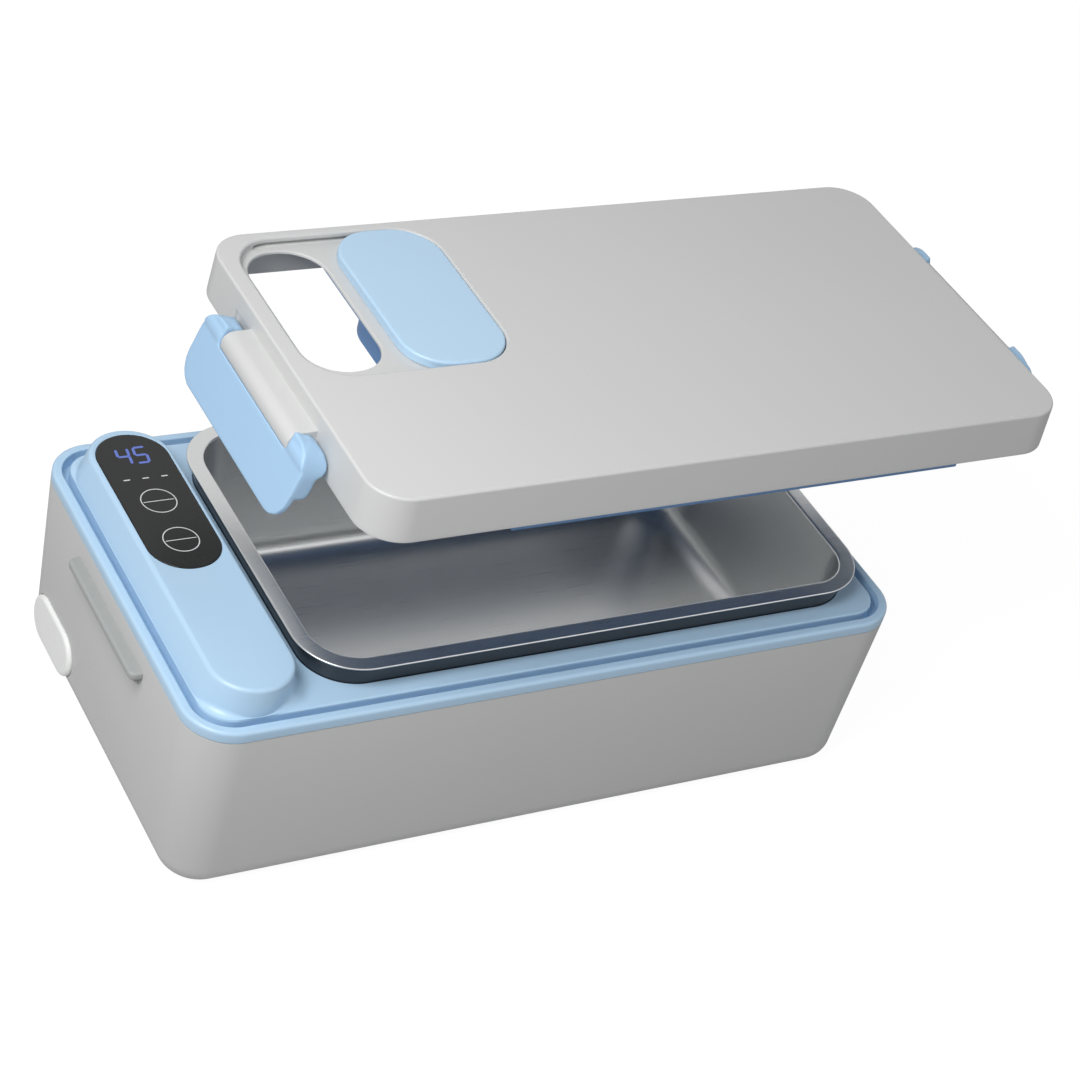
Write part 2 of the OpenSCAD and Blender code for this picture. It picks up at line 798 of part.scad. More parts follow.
module lid_seal() {
    z1 = liner_top - liner_t;
    color([0.93, 0.93, 0.94])
    translate(lid_rest)
    difference() {
        band(rim_l - 2, rim_wy - 2, rim_corner - 1, tray_rim_w - 2.4, tray_top + fit_gap, z1, tray_x);
        band(rim_l - 4, rim_wy - 4, rim_corner - 2, tray_rim_w - 4.4, tray_top - eps, tray_top + 0.6, tray_x);
    }
}

module lid_screws() {
    z1 = liner_top - liner_t;
    color([0.7, 0.7, 0.72])
    translate(lid_rest)
    lid_boss_places() {
        translate([0, 0, z1 - 1.2]) cylinder(r = 2.2, h = 1.2);
        translate([0, 0, z1 - 1.2]) cylinder(r = 1.1, h = 1.2 + liner_t + 2.4);
    }
}

module slider_cover() {
    w = recess_back - recess_front - 2 * slide_gap;
    cx = slider_left + slider_w / 2;
    cy = (recess_front + recess_back) / 2;
    z0 = recess_z + fit_gap;
    color([0.68, 0.81, 0.92])
    translate(lid_rest) {
        skin(slider_w, w, slider_r, concat([[0, z0]], top_round(0, lid_top + 0.2, 0.9)), cx, cy);
        translate([cx - tongue_l / 2, cy - w / 2 - tongue_out, z0])
            cube([tongue_l, w + 2 * tongue_out, tongue_t]);
    }
}

// Side view of an ear and its leg about the pin's axis, with a rounded inner corner at the foot
module ear_side() {
    circle(r = ear_r);
    polygon(concat([[bar_r, 0], [-leg_in, 0]],
        [for (k = [0:edge_steps])
            let (a = 180 + 90 * k / edge_steps)
            [-leg_in + leg_r * (1 + cos(a)), -leg_drop + leg_r * (1 + sin(a))]],
        [[bar_r, -leg_drop]]));
}

// A latch in its closed place on the right end: ears round the pin, paddle outside, lip below
module latch_form() {
    top = axis_z + ear_r;
    ear_l = latch_l / 2 - bar_l / 2 - slide_gap;
    difference() {
        intersection() {
            union() {
                translate([axis_x + paddle_in, -latch_l / 2, paddle_bottom])
                    cube([latch_t, latch_l, axis_z - paddle_bottom]);
                for (y = [latch_l / 2, -latch_l / 2 + ear_l])
                    translate([axis_x, y, axis_z])
                        rotate([90, 0, 0]) linear_extrude(ear_l) ear_side();
                translate([axis_x, -bar_l / 2 + 1.5, paddle_bottom])
                    cube([paddle_in + eps, bar_l - 3, lip_t]);
            }
            translate([axis_x - ear_r - eps, 0, (top + paddle_bottom) / 2])
                rotate([90, 0, 90])
                    linear_extrude(2 * (ear_r + eps))
                        polygon(outline(latch_l, top - paddle_bottom, paddle_r));
        }
        y_rod(bar_r + slit, bar_l + 2 * slide_gap, axis_x, axis_z);
        y_rod(pin_d / 2 + pin_gap, latch_l + 2, axis_x, axis_z);
    }
}

// Turns what is drawn in the closed place on the right end out to the freed latch's angle
module swing_out() {
    translate([axis_x, 0, axis_z])
        rotate([0, -latch_rest, 0])
            translate([-axis_x, 0, -axis_z]) children();
}

module latch_right() {
    color([0.66, 0.79, 0.91])
    translate(lid_rest) swing_out() latch_form();
}

module latch_left() {
    color([0.66, 0.79, 0.91])
    translate(lid_rest) mirror([1, 0, 0]) swing_out() latch_form();
}

module latch_pin() {
    y_rod(pin_d / 2, bar_l + 18, axis_x, axis_z);
}

module latch_pin_right() {
    color([0.75, 0.75, 0.77])
    translate(lid_rest) latch_pin();
}

module latch_pin_left() {
    color([0.75, 0.75, 0.77])
    translate(lid_rest) mirror([1, 0, 0]) latch_pin();
}

lower_shell();
rubber_feet();
base_screws();
top_deck();
control_panel();
display_module();
control_board();
board_screws();
touch_pads();
tray_collar();
heater_well();
heater_plate();
ptc_heaters();
thermostat();
insulation_pad();
battery_cells();
battery_holder();
power_board();
power_inlet();
internal_wires();
port_plug();
food_tray();
lid_shell();
lid_liner();
lid_seal();
lid_screws();
slider_cover();
latch_pin_left();
latch_pin_right();
latch_left();
latch_right();
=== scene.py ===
"""Electric lunch box: a grey drafted shell with a pale blue deck, a steel tray over a heated well,
a touch panel on a raised pod, and a lid held above it with a sliding cover and two end latches.

Sizes are in millimetres in each section and become metres where the mesh is made.
"""
import math
import bpy
import numpy as np
from mathutils import Matrix


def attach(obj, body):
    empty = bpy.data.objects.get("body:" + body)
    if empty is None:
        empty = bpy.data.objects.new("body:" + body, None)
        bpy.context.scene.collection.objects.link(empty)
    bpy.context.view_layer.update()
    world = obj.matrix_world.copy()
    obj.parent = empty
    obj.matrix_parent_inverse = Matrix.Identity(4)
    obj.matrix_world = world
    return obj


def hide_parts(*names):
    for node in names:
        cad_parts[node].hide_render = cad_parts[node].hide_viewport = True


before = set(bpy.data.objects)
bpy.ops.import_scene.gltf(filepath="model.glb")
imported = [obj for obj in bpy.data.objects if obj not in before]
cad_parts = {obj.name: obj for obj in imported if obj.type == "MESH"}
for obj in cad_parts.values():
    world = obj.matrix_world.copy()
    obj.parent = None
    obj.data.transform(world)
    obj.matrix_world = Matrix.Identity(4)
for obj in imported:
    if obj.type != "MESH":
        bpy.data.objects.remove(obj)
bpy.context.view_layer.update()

# The table and the light: a pale table top that runs out to white, one broad lamp high on the
# left, a weaker one on the right and an even sky, so that a colour shows about as it is written.
view = bpy.context.scene
view.view_settings.view_transform = "Standard"

table_mesh = bpy.data.meshes.new("table_top")
half = 6
table_mesh.from_pydata([(-half, -half, 0), (half, -half, 0), (half, half, 0), (-half, half, 0)],
                       [], [(0, 1, 2, 3)])
table_top = bpy.data.objects.new("table_top", table_mesh)
view.collection.objects.link(table_top)
table_paint = bpy.data.materials.new("table_paint")
table_paint.use_nodes = True
links = table_paint.node_tree.links
nodes = table_paint.node_tree.nodes
nodes.clear()
paint = nodes.new("ShaderNodeBsdfDiffuse")
paint.inputs["Color"].default_value = (0.58, 0.58, 0.58, 1)
glow = nodes.new("ShaderNodeEmission")
glow.inputs["Strength"].default_value = 1.24
seen = nodes.new("ShaderNodeLightPath")
# To the camera this share of the table is plain light, and the rest keeps the shadow
share = nodes.new("ShaderNodeMath")
share.operation = "MULTIPLY"
share.inputs[1].default_value = 0.76
blend = nodes.new("ShaderNodeMixShader")
out = nodes.new("ShaderNodeOutputMaterial")
links.new(seen.outputs["Is Camera Ray"], share.inputs[0])
links.new(share.outputs[0], blend.inputs[0])
links.new(paint.outputs[0], blend.inputs[1])
links.new(glow.outputs[0], blend.inputs[2])
links.new(blend.outputs[0], out.inputs["Surface"])
table_mesh.materials.append(table_paint)

sky = bpy.data.worlds.new("even_sky")
sky.use_nodes = True
view.world = sky
links = sky.node_tree.links
nodes = sky.node_tree.nodes
nodes.clear()
seen = nodes.new("ShaderNodeLightPath")
either = nodes.new("ShaderNodeMath")
either.operation = "MAXIMUM"
white_seen = nodes.new("ShaderNodeMath")
white_seen.operation = "MAXIMUM"
level = nodes.new("ShaderNodeMapRange")
level.inputs["To Min"].default_value = 0.33
level.inputs["To Max"].default_value = 1.0
air = nodes.new("ShaderNodeBackground")
air.inputs["Color"].default_value = (1, 1, 1, 1)
out = nodes.new("ShaderNodeOutputWorld")
links.new(seen.outputs["Is Camera Ray"], either.inputs[0])
links.new(seen.outputs["Is Glossy Ray"], either.inputs[1])
links.new(either.outputs[0], white_seen.inputs[0])
links.new(seen.outputs["Is Transmission Ray"], white_seen.inputs[1])
links.new(white_seen.outputs[0], level.inputs["Value"])
links.new(level.outputs["Result"], air.inputs["Strength"])
links.new(air.outputs[0], out.inputs["Surface"])


def hang_lamp(name, place, target, width, power):
    """A square lamp at place whose face looks at target: its back axis is place less target."""
    lamp = bpy.data.lights.new(name, "AREA")
    lamp.shape = "SQUARE"
    lamp.size = width
    lamp.energy = power
    holder = bpy.data.objects.new(name, lamp)
    back = np.array(place, float) - np.array(target, float)
    back /= np.linalg.norm(back)
    side = np.cross((0.0, 0.0, 1.0), back)
    side /= np.linalg.norm(side)
    up = np.cross(back, side)
    turn = np.eye(4)
    turn[:3, 0], turn[:3, 1], turn[:3, 2], turn[:3, 3] = side, up, back, place
    holder.matrix_world = Matrix(turn.tolist())
    view.collection.objects.link(holder)


hang_lamp("lamp_left", (-0.45, -0.18, 0.64), (0.03, 0, 0.12), 0.38, 4.2)
hang_lamp("lamp_right", (0.7, -1.4, 0.5), (0, 0, 0.08), 1.0, 2.3)

# The camera stands at the front left corner, a little above the raised lid, where the picture
# was taken from. Its three axes and its place come from lines of the box measured in the picture.
lens = bpy.data.cameras.new("camera")
lens.sensor_width = 36
lens.lens = 92.32
lens.clip_end = 20
camera = bpy.data.objects.new("camera", lens)
camera.matrix_world = Matrix((
    (0.86494, 0.12769, -0.48535, -0.4320),
    (-0.44826, 0.63148, -0.63269, -0.5954),
    (0.22570, 0.76480, 0.60343, 0.6310),
    (0, 0, 0, 1)))
view.collection.objects.link(camera)
view.camera = camera


# The grey lower shell is one drafted moulding of satin plastic, with a soft bottom edge, a seat
# for the port's plug on its left end, and shallow pockets underneath for the feet and screws.
mm = 0.001


def outline_stack(rect, radius, profile, steps=18):
    """Level outlines one over another, as points. Each is the rectangle drawn in by an inset, and
    its corners are quarter circles of the radius less that inset: centre plus radius times the
    cosine and sine of the turn. The profile gives the inset and the height of each outline."""
    x0, x1, y0, y1 = rect
    line = np.array(profile, float)
    inset, z = line[:, 0:1], line[:, 1:2]
    quarter = np.repeat(np.arange(4), steps + 1)
    turn = np.tile(np.linspace(0, np.pi / 2, steps + 1), 4) + quarter * np.pi / 2
    r = np.maximum(radius - inset, 0.3)
    right, back = np.isin(quarter, (0, 3)), quarter < 2
    x = np.where(right, x1 - inset - r, x0 + inset + r) + r * np.cos(turn)
    y = np.where(back, y1 - inset - r, y0 + inset + r) + r * np.sin(turn)
    return np.stack([x, y, z + 0 * x], -1)


def arc(inset, z, r, start, end, steps=8):
    """Points of a profile on a circle about (inset, z), from one angle in degrees to another."""
    a = np.radians(np.linspace(start, end, steps + 1))
    return list(zip(inset + r * np.cos(a), z + r * np.sin(a)))


def skin(name, rings, ring_shut=False, sharp=38):
    """A surface through a grid of points: neighbours along a ring and from ring to ring make a
    four-sided face. A stack that isn't shut on itself is closed by its first and last ring."""
    m, n, _ = rings.shape
    i = np.arange(m if ring_shut else m - 1)[:, None]
    j = np.arange(n)[None, :]
    up, on = (i + 1) % m, (j + 1) % n
    quads = np.stack([i * n + j, i * n + on, up * n + on, up * n + j], -1).reshape(-1, 4).tolist()
    if not ring_shut:
        quads += [list(range(n))[::-1], list(range((m - 1) * n, m * n))]
    mesh = bpy.data.meshes.new(name)
    mesh.from_pydata((rings.reshape(-1, 3) * mm).tolist(), [], quads)
    mesh.validate()
    mesh.shade_smooth()
    mesh.set_sharp_from_angle(angle=math.radians(sharp))
    piece = bpy.data.objects.new(name, mesh)
    view.collection.objects.link(piece)
    return piece


def final_mesh(piece):
    """A new mesh with the shape that a piece has once its modifiers have run."""
    shaped = piece.evaluated_get(bpy.context.evaluated_depsgraph_get())
    return bpy.data.meshes.new_from_object(shaped)


def cut_away(piece, cutters, how="DIFFERENCE"):
    """Cuts each cutter out of a piece, joins it on or keeps what both share; drops the cutters."""
    for cutter in cutters:
        tool = piece.modifiers.new("cut", "BOOLEAN")
        tool.operation = how
        tool.solver = "EXACT"
        tool.object = cutter
    made = final_mesh(piece)
    piece.modifiers.clear()
    piece.data = made
    made.name = piece.name
    made.shade_smooth()
    made.set_sharp_from_angle(angle=math.radians(38))
    for cutter in cutters:
        bpy.data.objects.remove(cutter)


def finish_piece(piece, body, slot, paint, *stands_for):
    """Puts a paint on a piece, lets it move with a body, and hides the parts that it stands for."""
    piece.data.materials.clear()
    piece.data.materials.append(paint)
    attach(piece, body)
    if stands_for:
        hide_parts(*stands_for)


def new_group(name, inputs, outputs):
    """An empty shader group with number inputs and outputs, given as name and start value."""
    group = bpy.data.node_groups.new(name, "ShaderNodeTree")
    group.interface.new_socket("Vector", in_out="INPUT", socket_type="NodeSocketVector")
    for label, start in inputs:
        socket = group.interface.new_socket(label, in_out="INPUT", socket_type="NodeSocketFloat")
        socket.default_value = start
    for label in outputs:
        group.interface.new_socket(label, in_out="OUTPUT", socket_type="NodeSocketFloat")
    return group, group.nodes.new("NodeGroupInput"), group.nodes.new("NodeGroupOutput")


# Moulded skin: a fine spark-eroded grain and a slow drift of tone across the moulding
moulded_skin, inlet, outlet = new_group("moulded_skin", [("Grain size", 0.5)], ["Grain", "Drift"])
fine = moulded_skin.nodes.new("ShaderNodeTexNoise")
fine.inputs["Detail"].default_value = 3
slow = moulded_skin.nodes.new("ShaderNodeTexNoise")
slow.inputs["Scale"].default_value = 9
slow.inputs["Detail"].default_value = 2
per_metre = moulded_skin.nodes.new("ShaderNodeMath")
per_metre.operation = "DIVIDE"
per_metre.inputs[0].default_value = 1000
moulded_skin.links.new(inlet.outputs["Grain size"], per_metre.inputs[1])
moulded_skin.links.new(per_metre.outputs[0], fine.inputs["Scale"])
moulded_skin.links.new(inlet.outputs["Vector"], fine.inputs["Vector"])
moulded_skin.links.new(inlet.outputs["Vector"], slow.inputs["Vector"])
moulded_skin.links.new(fine.outputs["Fac"], outlet.inputs["Grain"])
moulded_skin.links.new(slow.outputs["Fac"], outlet.inputs["Drift"])


def start_paint(name):
    """A material with a Principled shader, and the Object coordinates that place its effects."""
    paint = bpy.data.materials.new(name)
    paint.use_nodes = True
    tree = paint.node_tree
    place = tree.nodes.new("ShaderNodeTexCoord")
    return paint, tree, tree.nodes["Principled BSDF"], place.outputs["Object"]


def tone(tree, mask, low, high, target):
    """Lets a mask slide a socket between two colours or two numbers. The numbers use the part of
    the mask from 0.3 to 0.7, where most of a noise lies."""
    if isinstance(low, tuple):
        mix = tree.nodes.new("ShaderNodeMix")
        mix.data_type = "RGBA"
        mix.inputs[6].default_value = (*low, 1)
        mix.inputs[7].default_value = (*high, 1)
        tree.links.new(mask, mix.inputs[0])
        tree.links.new(mix.outputs[2], target)
    else:
        span = tree.nodes.new("ShaderNodeMapRange")
        span.inputs["From Min"].default_value = 0.3
        span.inputs["From Max"].default_value = 0.7
        span.inputs["To Min"].default_value = low
        span.inputs["To Max"].default_value = high
        tree.links.new(mask, span.inputs["Value"])
        tree.links.new(span.outputs["Result"], target)


def add_bump(tree, height, shader, depth_mm):
    """Feeds a height into the shader's normal, with its depth in millimetres."""
    bump = tree.nodes.new("ShaderNodeBump")
    bump.inputs["Strength"].default_value = 1.0
    bump.inputs["Distance"].default_value = depth_mm * mm
    tree.links.new(height, bump.inputs["Height"])
    tree.links.new(bump.outputs["Normal"], shader.inputs["Normal"])


def moulded_plastic(name, colour, rough, grain_mm=0.5, depth_mm=0.004, coat=0.0):
    """Moulded plastic: a base colour that drifts by a fortieth either way, and a fine grain."""
    paint, tree, shader, place = start_paint(name)
    effect = tree.nodes.new("ShaderNodeGroup")
    effect.node_tree = moulded_skin
    effect.inputs["Grain size"].default_value = grain_mm
    tree.links.new(place, effect.inputs["Vector"])
    low = tuple(c * 0.975 for c in colour)
    high = tuple(min(c * 1.025, 1.0) for c in colour)
    tone(tree, effect.outputs["Drift"], low, high, shader.inputs["Base Color"])
    tone(tree, effect.outputs["Grain"], rough - 0.03, rough + 0.03, shader.inputs["Roughness"])
    add_bump(tree, effect.outputs["Grain"], shader, depth_mm)
    shader.inputs["Coat Weight"].default_value = coat
    shader.inputs["Coat Roughness"].default_value = 0.2
    return paint


shell_paint = moulded_plastic("shell_plastic", (0.53, 0.535, 0.53), 0.42, 0.45, 0.006)
shell_rect = (-130, 130, -71, 71)
outer = arc(10.2, 8, 8, 270, 180, 12) + [(2.15, 9.5), (0.02, 64.9), (0.2, 65.35), (0.6, 65.4)]
inner = [(1.6, 65.4), (2.0, 65.0), (4.1, 9.5)] + arc(10.2, 8.4, 6, 180, 270, 8)
floor_rings = [(10.6, 0.0)]
grey_shell = skin("grey_shell", outline_stack(shell_rect, 16, floor_rings + outer + inner))


def round_bar(name, centre, axis, radius, length, sides=48):
    """A plain round rod, closed at both ends, along one axis (0, 1 or 2) from its centre."""
    a = np.linspace(0, 2 * np.pi, sides, endpoint=False)
    circle = np.stack([radius * np.cos(a), radius * np.sin(a), 0 * a], -1)
    rings = np.stack([circle + (0, 0, -length / 2), circle + (0, 0, length / 2)])
    rings = np.roll(rings, axis + 1, axis=2) + np.array(centre, float)
    return skin(name, rings)


def side_prism(name, y, z, length, height, radius, x0, x1):
    """An oval block that lies along X, from x0 to x1, about (y, z)."""
    rect = (-length / 2, length / 2, -height / 2, height / 2)
    stack = outline_stack(rect, radius, [(0, x0), (0, x1)])
    return skin(name, np.stack([stack[..., 2], stack[..., 0] + y, stack[..., 1] + z], -1))


port_y = 41
port_z = 13.5
cutters = [side_prism("seat", port_y, port_z, 33.4, 17.4, 8.6, -132, -127.0),
           side_prism("hole", port_y, port_z, 27.2, 11.2, 5.6, -131, -122)]
for sx in (-1, 1):
    for sy in (-1, 1):
        cutters.append(round_bar("foot_pocket", (sx * 104, sy * 45, 0), 2, 7.1, 2.2))
        cutters.append(round_bar("screw_pocket", (sx * 118, sy * 59, 0), 2, 3.1, 6.8))
cut_away(grey_shell, cutters)

# The hook bar on each end is a ledge of the shell that a latch's lip catches, with a small fin
# under each end. It is moulded with the shell and is a little duller; its darker grey is painted
# shade for the shadow that the bar and fins sit in.
hook_shaded_grey = moulded_plastic("hook_shaded_grey", (0.36, 0.375, 0.37), 0.5, 0.45, 0.006)
bar_rings = outline_stack((126.0, 133.95, -28.5, 28.5), 2.5,
                          [(0.8, 56.2)] + arc(0.6, 56.8, 0.6, 270, 180, 4)
                          + arc(0.9, 57.9, 0.9, 180, 90, 5) + [(1.5, 58.8)], 8)
hook_right = skin("hook_bar_right", bar_rings)
mirror = np.array([-1, 1, 1])
hook_left = skin("hook_bar_left", bar_rings[:, ::-1] * mirror)


def fin(name, x_out, x_in, y, z_top, z_low):
    """A fin under the bar, 1.4 thick: its lower edge slants from the bar's lip down to the wall."""
    line = np.array([(x_in, z_low), (x_out, z_top - 0.8), (x_out, z_top), (x_in, z_top)], float)
    if x_out < x_in:
        line = line[::-1]
    x, z = line[:, 0], line[:, 1]
    return skin(name, np.stack([np.stack([x, 0 * x + v, z], -1) for v in (y + 0.7, y - 0.7)]))


fins = [fin("hook_fin_%d" % k, sx * 133.2, sx * 127.6, y, 56.4, 50.6)
        for k, (sx, y) in enumerate([(-1, -25.5), (-1, 25.5), (1, -25.5), (1, 25.5)])]
finish_piece(grey_shell, "base", "shell_grey", shell_paint, "lower_shell")
# The bars and fins take the darker grey of painted shade
for piece in [hook_right, hook_left] + fins:
    finish_piece(piece, "base", "shell_grey", hook_shaded_grey, "lower_shell")

# Four rubber feet are let into the floor, and a plated screw beside each holds shell and deck
# together from below.
rubber = moulded_plastic("black_rubber", (0.035, 0.035, 0.036), 0.75, 0.8, 0.01)


def fine_brush(name, colour, rough, depth_mm=0.003):
    """Metal with fine brushing along X: noise drawn out 140 to one, in tone and in height."""
    paint, tree, shader, place = start_paint(name)
    stretch = tree.nodes.new("ShaderNodeMapping")
    stretch.inputs["Scale"].default_value = (30, 4200, 4200)
    streaks = tree.nodes.new("ShaderNodeTexNoise")
    streaks.inputs["Scale"].default_value = 1
    streaks.inputs["Detail"].default_value = 4
    tree.links.new(place, stretch.inputs["Vector"])
    tree.links.new(stretch.outputs[0], streaks.inputs["Vector"])
    low = tuple(c * 0.96 for c in colour)
    tone(tree, streaks.outputs["Fac"], low, colour, shader.inputs["Base Color"])
    tone(tree, streaks.outputs["Fac"], rough - 0.03, rough + 0.03, shader.inputs["Roughness"])
    add_bump(tree, streaks.outputs["Fac"], shader, depth_mm)
    shader.inputs["Metallic"].default_value = 1.0
    return paint


plated = fine_brush("plated_steel", (0.62, 0.62, 0.64), 0.32)


def paint_nodes(paint, *names):
    """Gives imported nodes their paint."""
    for name in names:
        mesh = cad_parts[name].data
        mesh.materials.clear()
        mesh.materials.append(paint)


paint_nodes(rubber, "rubber_feet", "touch_pads")
paint_nodes(plated, "base_screws", "board_screws", "lid_screws", "latch_pin_left", "latch_pin_right")

# The pale blue deck closes the shell: a rounded flange that shows above the grey, a rim for the
# lid, a channel inside it, and a flat deck with the opening for the tray.
deck_blue = moulded_plastic("deck_blue", (0.455, 0.65, 0.84), 0.34, 0.5, 0.003)
deck_top = 69.6
flange = ([(2.2, 63.3), (2.2, 65.3), (2.4, 65.45), (0.6, 65.45), (0.1, 65.6), (0, 66.0), (0, 68.0)]
          + arc(1.2, 68.4, 1.2, 180, 90, 8) + [(1.6, deck_top), (2.6, deck_top)]
          + arc(2.8, 69.2, 0.4, 90, 0, 4))
channel = ([(3.2, 68.6), (3.2, 65.6)] + arc(3.8, 65.4, 0.6, 180, 270, 4)
           + arc(5.2, 65.4, 0.6, 270, 360, 4) + [(5.8, 66.0), (5.8, 68.6)]
           + arc(6.4, 69.0, 0.6, 180, 90, 5) + [(6.8, deck_top)])
deck_rings = outline_stack(shell_rect, 16, flange + channel)
mouth_rect = (-86.0, 117.6, -58.6, 58.6)
mouth = outline_stack(mouth_rect, 17.4, [(-0.8, deck_top), (-0.3, deck_top), (0, 69.3), (0, 67.4),
                                         (-0.3, 67.4)])
under = outline_stack(shell_rect, 16, [(7.8, 67.4), (7.4, 67.0), (7.4, 63.2), (2.4, 63.2)])
blue_deck = skin("blue_deck", np.concatenate([deck_rings, mouth, under]), ring_shut=True)
finish_piece(blue_deck, "base", "deck_blue", deck_blue, "top_deck")

# The control pod is moulded with the deck: a long rounded ridge along the left end. Its outer side
# rises from the channel and leans in, and a hollow fillet joins its other sides to the deck.
pod_high = 9.8
pod_top = 79.4
pod_lean = 3.8 / pod_high
pod_draft = 1.1 / pod_high


def pod_outline(height, inset, steps=18):
    """One outline of the pod, with a height above the deck for each of its points. With the height
    the left side leans in by the lean and the other sides by the draft; the inset comes on top.
    The corners are quarter circles: centre plus radius times the cosine and sine of the turn."""
    quarter = np.repeat(np.arange(4), steps + 1)
    turn = np.tile(np.linspace(0, np.pi / 2, steps + 1), 4) + quarter * np.pi / 2
    h = height + 0 * turn
    left = -124.2 + pod_lean * h + inset
    right = -91.5 - pod_draft * h - inset
    half = 65.2 - pod_draft * h - inset
    r = np.minimum(16, (right - left) / 2 - 0.1)
    x = np.where(np.isin(quarter, (0, 3)), right - r, left + r) + r * np.cos(turn)
    y = np.where(quarter < 2, half - r, -half + r) + r * np.sin(turn)
    return np.stack([x, y, deck_top + h], -1)


def room_to_edge(points, corner=10.2):
    """How far each point lies inside the deck's plateau: the distance to a rounded rectangle,
    which is the corner radius less the length of what sticks out of the inner rectangle."""
    q = np.abs(points[:, :2]) - (np.array([124.2, 65.2]) - corner)
    outside = np.linalg.norm(np.maximum(q, 0), axis=1) + np.minimum(q.max(axis=1), 0)
    return np.maximum(corner - outside, 0)


foot_line = pod_outline(0, 0)
along = np.roll(foot_line, -1, axis=0) - np.roll(foot_line, 1, axis=0)
outward = np.stack([along[:, 1], -along[:, 0]], -1)
outward /= np.linalg.norm(outward, axis=1, keepdims=True)
to_mouth = -86.4 - foot_line[:, 0]
reach = np.clip(np.minimum(room_to_edge(foot_line) * 0.95, to_mouth), 0.12, 5.0)


def fillet_ring(angle):
    """One line of the hollow fillet, a quarter circle whose radius is the reach at each point: it
    starts on the deck, out by the reach, and ends on the pod's side, up by the reach."""
    ring = pod_outline(reach * (1 - math.cos(angle)), 0)
    ring[:, :2] += outward * (reach * (1 - math.sin(angle)))[:, None]
    return ring


fillet = [fillet_ring(a) for a in np.radians(np.linspace(0, 90, 10))]
below = fillet[0] + (0, 0, -1.0)
sides = [pod_outline(z - deck_top, inset)
         for inset, z in [(0, 76.4)] + arc(1.2, 78.2, 1.2, 180, 90, 10)]
pocket = outline_stack((-118.9, -94.1, -7.0, 61.2), 12.2,
                       [(-0.2, pod_top), (-0.08, 79.37), (0, 79.25), (0, 78.45), (0.3, 78.4)])
control_pod = skin("control_pod", np.concatenate([[below], fillet, sides, pocket]), sharp=50)
finish_piece(control_pod, "base", "deck_blue", deck_blue, "top_deck")

# The touch panel is a black glass-like oval let into the pod, with a lit number, three marks and
# two ringed touch areas printed on it.
panel_black = moulded_plastic("panel_black", (0.012, 0.0125, 0.0125), 0.30, 1.2, 0.001)
panel_black.node_tree.nodes["Principled BSDF"].inputs["Specular IOR Level"].default_value = 0.28
glass_rings = outline_stack((-118.8, -94.2, -6.9, 61.1), 12.1,
                            [(0.3, 78.5), (0, 78.7), (0, 79.35)]
                            + arc(0.25, 79.35, 0.25, 180, 90, 4) + [(0.8, 79.6)])
touch_panel = skin("touch_panel", glass_rings)
finish_piece(touch_panel, "base", "panel_black", panel_black, "control_panel")

lit_digits = bpy.data.materials.new("lit_digits")
lit_digits.use_nodes = True
shader = lit_digits.node_tree.nodes["Principled BSDF"]
shader.inputs["Base Color"].default_value = (0.09, 0.13, 0.40, 1)
shader.inputs["Emission Color"].default_value = (0.10, 0.16, 0.52, 1)
shader.inputs["Emission Strength"].default_value = 0.35
print_white = moulded_plastic("print_white", (0.72, 0.73, 0.72), 0.5, 0.6, 0.001)
mark_low = 79.56
mark_high = 79.62


def flat_strokes(name, shapes):
    """Low plates with the given outlines, each closed: printed or lit marks on the panel."""
    verts, faces = [], []
    for shape in shapes:
        n, at = len(shape), len(verts)
        verts += [(x * mm, y * mm, z * mm) for z in (mark_low, mark_high) for x, y in shape]
        faces += [[at + k, at + (k + 1) % n, at + n + (k + 1) % n, at + n + k] for k in range(n)]
        faces += [[at + k for k in range(n)][::-1], [at + n + k for k in range(n)]]
    mesh = bpy.data.meshes.new(name)
    mesh.from_pydata(verts, [], faces)
    piece = bpy.data.objects.new(name, mesh)
    view.collection.objects.link(piece)
    return piece


def stroke(x0, y0, x1, y1, wide):
    """A six-cornered stroke with pointed ends between two points."""
    a, b = np.array((x0, y0), float), np.array((x1, y1), float)
    t = (b - a) / np.linalg.norm(b - a)
    s = np.array((t[1], -t[0])) * wide / 2
    k = t * wide / 2
    return [a + k + s, b - k + s, b, b - k - s, a + k - s, a]


def digit(x, y, strokes, wide=3.9, tall=7.8, slant=0.8):
    """The strokes of one seven-stroke digit that reads from the front: its left foot is at (x, y),
    its top points to +Y, and its top is shifted to the right by the slant."""
    ends = {"a": ((0, 1), (1, 1)), "b": ((1, 1), (1, 0.5)), "c": ((1, 0.5), (1, 0)),
            "d": ((0, 0), (1, 0)), "e": ((0, 0.5), (0, 0)), "f": ((0, 1), (0, 0.5)),
            "g": ((0, 0.5), (1, 0.5))}
    shapes = []
    for key in strokes:
        (u0, v0), (u1, v1) = ends[key]
        shapes.append(stroke(x + u0 * wide + slant * v0, y + v0 * tall,
                             x + u1 * wide + slant * v1, y + v1 * tall, 0.95))
    return shapes


number = flat_strokes("lit_number", digit(-112.0, 46.0, "bcfg") + digit(-106.0, 46.0, "acdfg"))
finish_piece(number, "base", "display", lit_digits)
touch_x = -106.5
touch_y = (26.5, 7.0)


def ring_strip(name, x, y, radius, wide, steps=72):
    """A flat printed ring: a low rectangle carried round a circle."""
    a = np.linspace(0, 2 * np.pi, steps, endpoint=False)
    far, near = radius + wide / 2, radius - wide / 2
    cross = [(far, mark_low), (far, mark_high), (near, mark_high), (near, mark_low)]
    rings = [np.stack([x + r * np.cos(a), y + r * np.sin(a), 0 * a + z], -1) for r, z in cross]
    return skin(name, np.array(rings), ring_shut=True)


